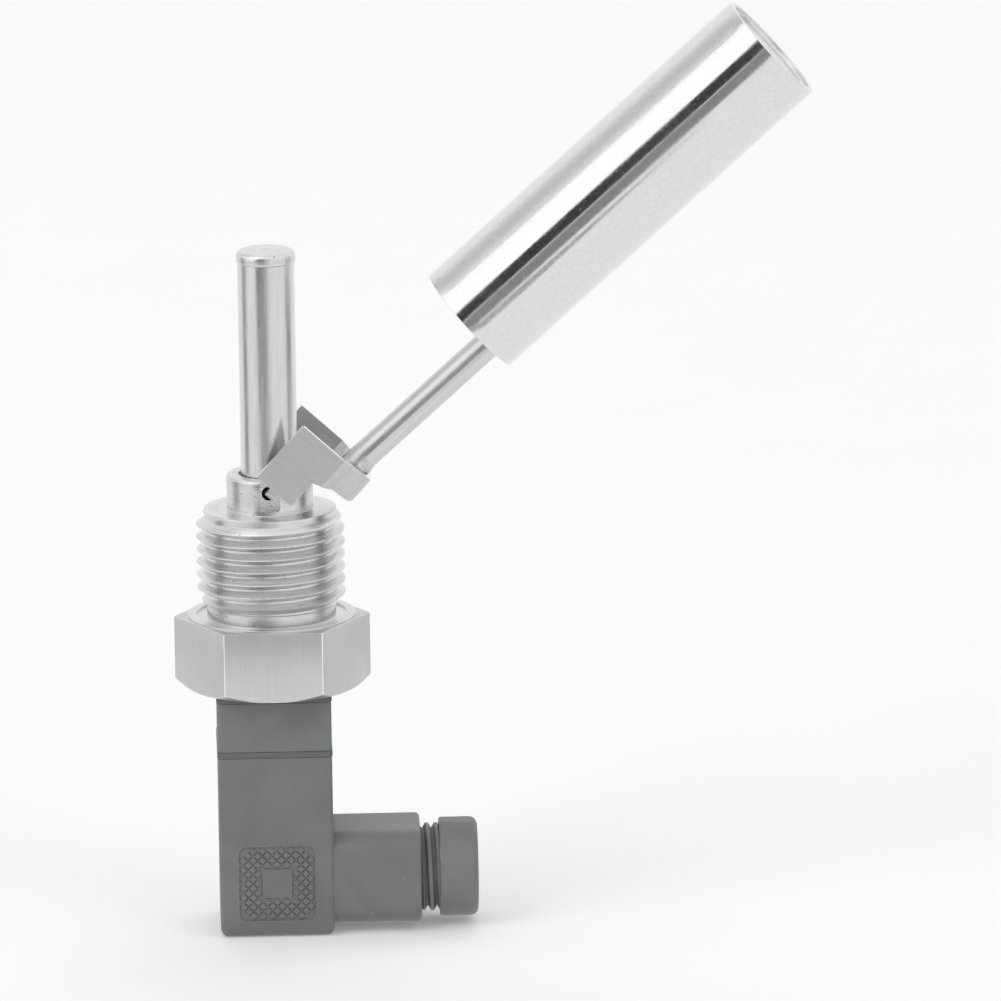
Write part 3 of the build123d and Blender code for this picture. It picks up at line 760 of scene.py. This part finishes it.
plugCore = cutBy(plugMesh(), [cutter(side) for cutter in (slotCutter, pivotCutter)
                              for side in (-1, 1)])
plugThread = grown(helicalThread, {
    "Crest Radius": plug["crest"], "Depth": plug["depth"], "Pitch": plug["pitch"],
    "Start": plug["start"], "Low End": plug["reliefTop"] + plug["under"],
    "High End": plug["threadTop"] - plug["under"], "Low Radius": plug["relief"],
    "High Radius": plug["topRadius"]}, {
    "Turns": plug["turns"], "High Slope": tan(radians(plug["topChamfer"])),
    "Crest Share": plug["crestShare"], "Resolution": 128, "Finish": turnedSteel})
plugPiece = makePiece("plug", [(plugCore, turnedSteel), (plugThread, turnedSteel)], "sensor",
                      ["plug_body"], 28)
for finish in (hexagonSteel, holePaintedShade, cutEdgeHighlightSteel):
    plugPiece.data.materials.append(finish)
hexagonSlot, holeShadeSlot, cornerHighlightSlot = 1, 2, 3
endMargin, slotMargin = plug["holeMargins"]
for polygon in plugPiece.data.polygons:
    x, y, z = polygon.center / millimetre
    away = hypot(x, y)
    if z < -plug["margin"] and away > plug["washer"] - plug["margin"]:
        polygon.material_index = hexagonSlot
    # the hexagon's upright corners take the near-white steel, a painted highlight
    onCorner = fromSixth(atan2(y, x)) < radians(plug["cornerLine"])
    beyond = away > plug["flats"] / 2 + plug["cornerReach"]
    if onCorner and beyond and abs(polygon.normal.z) < 0.5:  # upright
        polygon.material_index = cornerHighlightSlot
    # the pivot holes' insides take the near-black finish: painted shade
    fromHole = hypot(x - plug["holeX"], z - plug["pivotHeight"])
    inHole = fromHole < plug["holeRadius"] + plug["holeMargin"]
    if inHole and plug["holeEnd"] - endMargin < abs(y) < plug["slotFloor"] - slotMargin:
        polygon.material_index = holeShadeSlot
print("plug built")

# The reed tube and its cap.
stem = {"radius": 4.0, "inner": 3.5, "bottom": 8.0, "top": 50.5, "cap": 4.175, "capTop": 52.3,
        "spigot": 48.0, "capRounding": 1.05, "bead": 0.3, "slide": 0.01, "endRound": 0.05}
makePiece("stemTube", [(turnedMesh([
    (stem["inner"], stem["bottom"], 0), (stem["radius"], stem["bottom"], 0),
    (stem["radius"], stem["top"], stem["endRound"]), (stem["inner"], stem["top"], 0)]), stemSteel)],
    "sensor", ["stem_tube"])
makePiece("stemCap", [(turnedMesh([
    (0.0, stem["spigot"], 0), (stem["inner"] - stem["slide"], stem["spigot"], 0),
    (stem["inner"] - stem["slide"], stem["top"], 0), (stem["cap"], stem["top"], stem["bead"]),
    (stem["cap"], stem["capTop"], stem["capRounding"]), (0.0, stem["capTop"], 0)], steps=8),
    turnedSteel)], "sensor", ["stem_cap"], 40)
print("stem built")

# The yoke: the folded sheet, with its cut edges in a near-white finish, a painted highlight.
yoke = {"angle": 47.6, "pivotHeight": 18.4, "bevel": 0.12, "armHalfHeight": 3.2,
        "noseStart": 6.2, "noseEnd": 10.6, "noseBottom": -9.85, "noseRounding": 0.9,
        "noseAir": 0.02, "noseHalfWidth": 9.0, "flatArea": 3e-6}  # square metres, a flat's least
yokeFrame = shift(0, 0, yoke["pivotHeight"]) @ tilt(-yoke["angle"])


def noseCutter(x, toward):  # rounds one corner of the nose's lower edge, seen from the side
    rounding, air = yoke["noseRounding"], yoke["noseAir"]
    x, z = x + toward * air, yoke["noseBottom"] - air
    outline = [(x + toward, z - 1), (x - toward * rounding, z - 1)]
    for step in range(7):
        swing = step * pi / 12
        outline.append((x - toward * rounding * (1 - sin(swing)), z + rounding * (1 - cos(swing))))
    outline.append((x + toward, z + rounding))
    return placed(prism(outline, -yoke["noseHalfWidth"], yoke["noseHalfWidth"]), yokeFrame)


yokeMesh = nodeCopy("float_yoke", [noseCutter(yoke["noseStart"], -1),
                                   noseCutter(yoke["noseEnd"], 1)])
yokePiece = makePiece("yoke", [(beveled(yokeMesh, yoke["bevel"]), sheetSteel)],
                      "float_arm", ["float_yoke"], 30)
yokePiece.data.materials.append(cutEdgeHighlightSteel)
flatten = yokeFrame.inverted()
for polygon in yokePiece.data.polygons:
    normal = flatten.to_3x3() @ polygon.normal
    height = abs((flatten @ polygon.center).z) / millimetre
    # the cut edges take the near-white steel, a painted highlight
    if abs(normal.x) > 0.9 or (abs(normal.z) > 0.9 and height < yoke["armHalfHeight"] + 0.1):
        polygon.material_index = 1
    if polygon.area > yoke["flatArea"]:
        polygon.use_smooth = False
print("yoke built")

# The rod, its welds, and the float.
floatArm = {"angle": 41.8, "start": 36.7, "offset": 1.75, "rodOffset": 6.0, "rodRadius": 2.0,
            "tube": 8.5, "wall": 0.5, "length": 57.4, "recess": 0.8, "cupDepth": 3.0,
            "cup": 7.99, "cupInner": 7.49, "rim": 0.1, "cupRounding": 0.5, "endRing": 2.0,
            "lip": 0.02, "lipInner": 0.06, "lipOuter": 0.08}
weld = {"start": 10.5, "reach": 2.4, "height": 0.55, "ripple": 0.04, "waves": 11, "drift": 5,
        "inset": 0.3, "lift": 0.02, "fade": 1.35, "power": 1.8, "sink": 0.1,
        "ringRadius": 2.05, "dropRadius": 0.62, "drops": 16, "seed": 3}
armFrame = shift(0, 0, yoke["pivotHeight"]) @ tilt(-floatArm["angle"])
floatFrame = armFrame @ shift(floatArm["start"], 0, -floatArm["offset"]) @ tilt(90)
makePiece("rod", [(nodeCopy("float_rod"), rodSteel)], "float_arm", ["float_rod"], 24)


def onRod(mesh, along):
    return placed(mesh, armFrame @ shift(along, 0, -floatArm["rodOffset"]) @ tilt(90))


def flareMesh():  # the yoke's weld: full on the crown's side of the rod, thin on the other
    rod, reach, height = floatArm["rodRadius"], weld["reach"], weld["height"]
    rows = [(rod - weld["inset"], 0.0)]
    for step in range(9):
        share = step / 8

        def outer(angle, share=share):
            side = (1 + cos(angle)) / 2
            wave = sin(weld["waves"] * angle + weld["drift"] * share)
            ripple = 1 + weld["ripple"] * wave * (1 - share)
            taper = min(1.0, weld["fade"] * (1 - share)) ** weld["power"]
            return rod + weld["lift"] + height * taper * side * ripple, reach * share
        rows.append(outer)
    return gridMesh(rows + [(rod - weld["inset"], reach)], even(96))


makePiece("yokeWeld", [(onRod(flareMesh(), weld["start"]), weldSteel)], "float_arm",
          sharp=50)
drops = grown(weldRipple, {"Ring Radius": weld["ringRadius"], "Drop Radius": weld["dropRadius"]},
              {"Drops": weld["drops"], "Seed": weld["seed"], "Finish": weldSteel})
seam = floatArm["start"] + floatArm["recess"] - weld["sink"]
makePiece("floatWeld", [(onRod(drops, seam), weldSteel)], "float_arm", sharp=50)


def tubeMesh():
    outer, length, rim, ring = (floatArm[key] for key in ("tube", "length", "rim", "endRing"))
    inner = outer - floatArm["wall"]
    return turnedMesh([
        (inner, 0.0, 0), (outer, 0.0, rim), (outer, ring, 0), (outer, length - ring, 0),
        (outer, length, rim), (inner, length, 0)], 192)


def cupMesh():
    recess, depth, thick = floatArm["recess"], floatArm["cupDepth"], floatArm["wall"]
    outer, inner, lip = floatArm["cup"], floatArm["cupInner"], floatArm["lip"]
    return turnedMesh([
        (0.0, recess, 0), (inner, recess, floatArm["cupRounding"]),
        (inner, lip, floatArm["lipInner"]), (outer, lip, floatArm["lipOuter"]),
        (outer, depth, 0), (inner, depth, 0), (inner, recess + thick, 0),
        (0.0, recess + thick, 0)], 160)


upperEnd = floatFrame @ shift(0, 0, floatArm["length"]) @ Matrix.Rotation(pi, 4, "X")
for name, mesh, place, finish, node, sharp in (
        ("floatTube", tubeMesh(), floatFrame, polishedSteel, "float_tube", 32),
        ("lowerCup", cupMesh(), floatFrame, cupSteel, "float_lower_cup", 40),
        ("upperCup", cupMesh(), upperEnd, cupSteel, "float_upper_cup", 40)):
    makePiece(name, [(placed(mesh, place), finish)], "float_arm", [node], sharp)
print("float built")

# The connector: base, seals, housing with its outlet, and the cable gland.
connector = {
    "baseHalf": 8.05, "sealHalf": 8.13, "corner": 0.7, "round": 0.18, "sealRound": 0.15,
    "hexBottom": -10.3, "baseTop": -11.3, "baseBottom": -18.4, "housingTop": -19.25,
    "housingBottom": -45.35, "floorRound": 1.4, "spigot": 7.29, "spigotTop": -8.3,
    "insert": 2.11, "insertTop": -13.4, "cavityHalf": 6.75, "cavityFloor": -40.45,
    "pillar": 4.3, "pillarTop": -30.85, "screwWay": 1.6, "screwSeat": -41.75,
    "screwWell": 3.3, "spigotAir": 0.06,
}
outlet = {
    "height": -37.5, "halfHeight": 6.7, "halfWidth": 7.6, "corner": 3.0, "start": 7.0,
    "end": 20.4, "round": 0.6, "bore": 4.7, "glandEnd": 27.0, "crest": 6.25, "depth": 0.7,
    "pitch": 1.27, "turns": 3.6, "threadStart": -0.9, "threadLow": -0.05, "threadHigh": 3.2,
    "lowRadius": 5.9, "highRadius": 6.2, "crestShare": 0.17,
}
pad = {"depth": 0.26, "half": 5.4, "corner": 1.0, "clearHalf": 2.02, "clearCorner": 0.06,
       "above": 1.0, "knurl": 1.35, "count": 17, "cornerCut": 0.5}
outletFrame = shift(0, 0, outlet["height"]) @ tilt(90)


def blockRadius(angle, halfX, halfY, corner):  # from the middle to a rounded rectangle's side
    across, up = abs(cos(angle)), abs(sin(angle))
    if up * halfX <= across * (halfY - corner):
        return halfX / across
    if across * halfY <= up * (halfX - corner):
        return halfY / up
    along = across * (halfX - corner) + up * (halfY - corner)
    gap = (halfX - corner) ** 2 + (halfY - corner) ** 2 - corner ** 2
    return along + sqrt(max(along ** 2 - gap, 0.0))


def blockRow(halfX, halfY, corner, inset, height):
    return lambda angle: (blockRadius(angle, halfX - inset, halfY - inset,
                                      max(corner - inset, 0.05)), height)


def blockAngles(halfX, halfY, corner, count=64, steps=7):  # even, with more at the corners
    angles = set(round(angle, 6) for angle in even(count))
    for step in range(steps + 1):
        swing = step * pi / 2 / steps
        x = halfX - corner + corner * cos(swing)
        y = halfY - corner + corner * sin(swing)
        for signX, signY in ((1, 1), (-1, 1), (-1, -1), (1, -1)):
            turn = atan(y / x) * signX * signY + (pi if signX < 0 else 0)
            angles.add(round(turn % (2 * pi), 6))
    return sorted(angles)


def roundedRows(halfX, halfY, corner, rounding, height, toward, steps=5):
    rows = []  # from the side to the end face, or the other way, with a rounded edge between
    for step in range(steps + 1):
        swing = step * pi / 2 / steps
        rows.append(blockRow(halfX, halfY, corner, rounding * (1 - cos(swing)),
                             height - toward * rounding * (1 - sin(swing))))
    return rows


def squareRows(half, corner, rounding, low, high, lowRounding=None):
    below = roundedRows(half, half, corner, lowRounding or rounding, low, -1)
    return below[::-1] + roundedRows(half, half, corner, rounding, high, 1)


corners = connector["corner"]
baseAngles = blockAngles(connector["baseHalf"], connector["baseHalf"], corners)


def baseMesh():
    insert, insertTop, spigot = connector["insert"], connector["insertTop"], connector["spigot"]
    low, high, spigotTop = connector["baseBottom"], connector["baseTop"], connector["spigotTop"]
    return gridMesh([
        (0.0, insertTop), (insert, insertTop), (insert, low),
        *squareRows(connector["baseHalf"], corners, connector["round"], low, high),
        (spigot, high), (spigot, spigotTop), (0.0, spigotTop)], baseAngles)


def sealMesh(hole, low, high):
    return gridMesh([(hole, low), *squareRows(connector["sealHalf"], corners,
                                              connector["sealRound"], low, high),
                     (hole, high)], baseAngles)


makePiece("connectorBase", [(baseMesh(), connectorPlastic)], "sensor",
          ["connector_base"])
sealHole = connector["spigot"] + connector["spigotAir"]
for name, hole, low, high, node in (
        ("baseSeal", sealHole, "baseTop", "hexBottom", "base_seal"),
        ("profileSeal", connector["insert"], "housingTop", "baseBottom", "profile_seal")):
    makePiece(name, [(sealMesh(hole, connector[low], connector[high]), sealRubber)], "sensor",
              [node])


def onPad(mesh, turn, depth):
    return placed(mesh, Matrix.Rotation(turn, 4, "Z")
                  @ shift(0, depth - connector["baseHalf"], outlet["height"])
                  @ Matrix.Rotation(pi / 2, 4, "X"))


def padCutter(turn):  # the ring that is sunk round the pad's middle square
    half, clear, corner = (pad[key] for key in ("half", "clearHalf", "corner"))
    floor, above, inner = -pad["depth"], pad["above"], pad["clearCorner"]
    rows = [blockRow(clear, clear, inner, 0, floor), blockRow(half, half, corner, 0, floor),
            blockRow(half, half, corner, 0, above), blockRow(clear, clear, inner, 0, above)]
    return onPad(gridMesh(rows, blockAngles(half, half, corner, 48)), turn, 0.0)


def padMesh(turn):
    knurl = grown(diamondKnurl, {
        "Side": 2 * pad["half"], "Pitch": pad["knurl"],
        "Clear Side": 2 * pad["clearHalf"], "Corner Cut": pad["cornerCut"],
        "Height": pad["depth"]},
        {"Count": pad["count"], "Finish": connectorPlastic})
    return onPad(knurl, turn, pad["depth"])


def housingMesh():
    well, seat, way = connector["screwWell"], connector["screwSeat"], connector["screwWay"]
    cavity, floor = connector["cavityHalf"], connector["cavityFloor"]
    low, high = connector["housingBottom"], connector["housingTop"]
    pillar, pillarTop = connector["pillar"], connector["pillarTop"]
    rows = [(well, low), *squareRows(connector["baseHalf"], corners, connector["round"], low, high,
                                     connector["floorRound"]),
            blockRow(cavity, cavity, corners, 0, high), blockRow(cavity, cavity, corners, 0, floor),
            (pillar, floor), (pillar, pillarTop), (way, pillarTop), (way, seat), (well, seat)]
    return cutBy(gridMesh(rows, baseAngles), [padCutter(0.0), padCutter(pi)])


def armMesh():
    high, wide, corner = (outlet[key] for key in ("halfHeight", "halfWidth", "corner"))
    start, end, bore = outlet["start"], outlet["end"], outlet["bore"]
    core = outlet["crest"] - outlet["depth"]
    rows = [(bore, start), blockRow(high, wide, corner, 0, start),
            *roundedRows(high, wide, corner, outlet["round"], end, 1),
            (core, end), (core, outlet["glandEnd"]), (bore, outlet["glandEnd"])]
    return placed(gridMesh(rows, blockAngles(high, wide, corner)), outletFrame)


armEnd = outlet["end"]
outletThread = placed(grown(helicalThread, {
    "Crest Radius": outlet["crest"], "Depth": outlet["depth"],
    "Pitch": outlet["pitch"], "Start": armEnd + outlet["threadStart"],
    "Low End": armEnd + outlet["threadLow"], "High End": armEnd + outlet["threadHigh"],
    "Low Radius": outlet["lowRadius"], "High Radius": outlet["highRadius"]}, {
    "Turns": outlet["turns"], "Crest Share": outlet["crestShare"], "Resolution": 96,
    "Finish": connectorPlastic}), outletFrame)
housingParts = (housingMesh(), armMesh(), padMesh(0.0), padMesh(pi), outletThread)
makePiece("connectorHousing", [(mesh, connectorPlastic) for mesh in housingParts], "sensor",
          ["connector_housing"], 30)

nut = {"radius": 7.0, "flatHalf": 6.83, "start": 23.05, "end": 28.5, "round": 1.3,
       "nearRound": 0.35, "thread": 6.26, "washer": 27.6, "hole": 3.7,
       "holeRound": 0.3, "mouthRound": 0.1, "ring": 2}


def nutMesh():
    points = eased([
        (nut["thread"], nut["start"], nut["mouthRound"]),
        (nut["radius"], nut["start"], nut["nearRound"]),
        (nut["radius"], nut["start"] + nut["ring"], 0), (nut["radius"], nut["end"], nut["round"]),
        (nut["hole"], nut["end"], nut["holeRound"]), (nut["hole"], nut["washer"], 0),
        (nut["thread"], nut["washer"], 0)], 6)

    def row(point):  # six shallow flats, one of them level with the top
        return lambda angle: (min(point[0], nut["flatHalf"] / cos(fromSixth(angle))), point[1])
    return placed(gridMesh([row(point) for point in points], even(144)), outletFrame)


makePiece("glandNut", [(nutMesh(), nutPlastic)], "sensor", ["gland_nut"], 40)
print("connector built")

# Finishes of the nodes that keep their own shape.
nodeFinish = {
    "reed_glass": reedGlass, "reed_blade_upper": tinnedMetal, "reed_blade_lower": tinnedMetal,
    "reed_former": formerPlastic, "return_wire": redCover, "signal_wire": blackCover,
    "potting": pottingResin, "magnet_holder": formerPlastic, "float_magnet": magnetCeramic,
    "contact_tabs": tinnedMetal, "earth_tab": tinnedMetal, "threaded_insert": brass,
    "terminal_block": blockPlastic, "terminal_clamps": tinnedMetal,
    "terminal_screws": screwSteel, "fixing_screw": screwSteel, "screw_seal": grommetRubber,
    "gland_grommet": grommetRubber, "gland_washer": formerPlastic,
}
for node, finish in nodeFinish.items():
    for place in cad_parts[node].material_slots:
        place.material = finish
print("node finishes set")

# Floor, lamps, reflecting cards and camera.
studio = {
    "floorHeight": -45.35, "floorTone": 0.9, "floorGlow": 0.16, "floorSide": 30.0, "fill": 0.6,
    "lamps": [  # azimuth, elevation, distance, width, height, watts
        (-52, 33, 1.5, 0.9, 1.1, 6.0), (42, 24, 1.6, 0.7, 1.3, 3.0), (170, 55, 1.6, 1.2, 0.8, 4.0)],
    # azimuth, elevation, distance, width, height, lean, tone, soft share; in reflections only
    "cards": [
        (-25, 13, 2.2, 0.75, 1.9, -36, 0.05, 0.0), (-8.5, 0.7, 2.25, 0.9, 1.9, -36, 0.3, 0.35),
        (-47.5, 31, 2.3, 5.0, 2.8, -36, 1.4, 0.76), (-114, 38, 1.6, 1.0, 1.6, -36, 0.7, 0.8),
        (-5.5, -6.8, 0.352, 0.237, 0.056, 0, 0.5, 0.05), (-101, -12, 1.5, 0.8, 0.9, 0, 0.34, 0.6),
        (97, -12, 1.5, 0.9, 0.9, 0, 0.2, 0.6), (-52, -14, 1.8, 0.9, 0.6, 0, 0.86, 0.5),
        (50, -14, 1.8, 0.5, 0.6, 0, 0.9, 0.5)],
}


def outward(azimuth, elevation):
    turn, rise = radians(azimuth), radians(elevation)
    return Vector((sin(turn) * cos(rise), -cos(turn) * cos(rise), sin(rise)))


def facing(azimuth, elevation, distance, lean=0.0):  # a place round the object, turned to face it
    away = outward(azimuth, elevation)
    look = away.to_track_quat("Z", "Y").to_matrix().to_4x4()
    return Matrix.Translation(away * distance) @ look @ Matrix.Rotation(radians(lean), 4, "Z")


for number, (azimuth, elevation, distance, width, height, watts) in enumerate(studio["lamps"]):
    lamp = bpy.data.lights.new(f"softbox{number}", "AREA")
    lamp.shape, lamp.size, lamp.size_y, lamp.energy = "RECTANGLE", width, height, watts
    stand = addObject(f"softbox{number}", lamp)
    stand.matrix_world = facing(azimuth, elevation, distance)
    stand.visible_glossy = False  # the cards are what the metal mirrors


def plainSheet(name, width, height, finish):
    mesh = bpy.data.meshes.new(name)
    mesh.from_pydata([(x * width / 2, y * height / 2, 0)
                      for x, y in ((-1, -1), (1, -1), (1, 1), (-1, 1))], [], [(0, 1, 2, 3)])
    mesh.materials.append(finish)
    card = addObject(name, mesh)
    return card


def cardMaterial(name, tone, soft):  # an even glow that fades to white towards two sides
    material = bpy.data.materials.new(name)
    tree = emptied(material)
    places = addNode(tree, "ShaderNodeTexCoord").outputs["Generated"]
    aside = calculate(tree, "ABSOLUTE", minus(tree, split(tree, places)[0], 0.5))
    fade = ramp(tree, aside, 0.5 * (1 - soft), 0.5001)
    glow = made(tree, "ShaderNodeEmission",
                {"Color": mixColours(tree, fade, grey(tone), grey(1.0))})
    addNode(tree, "ShaderNodeOutputMaterial", {0: glow})
    return material


for number, row in enumerate(studio["cards"]):
    azimuth, elevation, distance, width, height, lean, tone, soft = row
    name = f"card{number}"
    card = plainSheet(name, width, height, cardMaterial(name, tone, soft))
    card.matrix_world = facing(azimuth, elevation, distance, lean)
    card.visible_camera = card.visible_shadow = card.visible_diffuse = False

floorFinish, floorNodes, floorShader, floorPlace = startMaterial("paleFloor", {"Roughness": 0.9})
paper = studio["floorTone"]
wire(floorNodes, mixColours(floorNodes, noise(floorNodes, floorPlace, 40.0), grey(paper),
                            grey(paper + 0.02)), floorShader["Base Color"])
fromCamera = addNode(floorNodes, "ShaderNodeLightPath").outputs["Is Camera Ray"]
wire(floorNodes, times(floorNodes, fromCamera, studio["floorGlow"]),
     floorShader["Emission Strength"])
floorShader["Emission Color"].default_value = (1, 1, 1, 1)
floor = plainSheet("floor", studio["floorSide"], studio["floorSide"], floorFinish)
floor.visible_glossy = False  # metal mirrors white from below the horizon too
floor.matrix_world = shift(0, 0, studio["floorHeight"])

world = bpy.data.worlds.new("studio")
bpy.context.scene.world = world
sky = emptied(world)
rays = addNode(sky, "ShaderNodeLightPath").outputs
seen = larger(sky, rays["Is Camera Ray"],
              larger(sky, rays["Is Glossy Ray"], rays["Is Transmission Ray"]))
fill, white = (made(sky, "ShaderNodeBackground", {"Color": (1, 1, 1, 1), "Strength": strength})
               for strength in (studio["fill"], 1.0))
both = made(sky, "ShaderNodeMixShader", {0: seen, 1: fill, 2: white})
addNode(sky, "ShaderNodeOutputWorld", {0: both})

view = {"azimuth": -1.5598, "elevation": 13.0094, "roll": -0.8036, "lens": 497.5, "sensor": 36.0,
        "distance": 1947.75, "target": (32.4638, 0.0, 15.4611)}


def addCamera():
    side, roll = radians(view["azimuth"]), radians(view["roll"])
    back = outward(view["azimuth"], view["elevation"])
    right = Vector((cos(side), sin(side), 0))
    up = back.cross(right)
    columns = (cos(roll) * right + sin(roll) * up, cos(roll) * up - sin(roll) * right, back)
    camera = bpy.data.cameras.new("camera")
    camera.lens, camera.sensor_width = view["lens"], view["sensor"]
    stand = addObject("camera", camera)
    place = (Vector(view["target"]) + back * view["distance"]) * millimetre
    stand.matrix_world = Matrix.Translation(place) @ Matrix(columns).transposed().to_4x4()
    bpy.context.scene.camera = stand


addCamera()
bpy.context.scene.view_settings.view_transform = "Standard"
print("studio set")
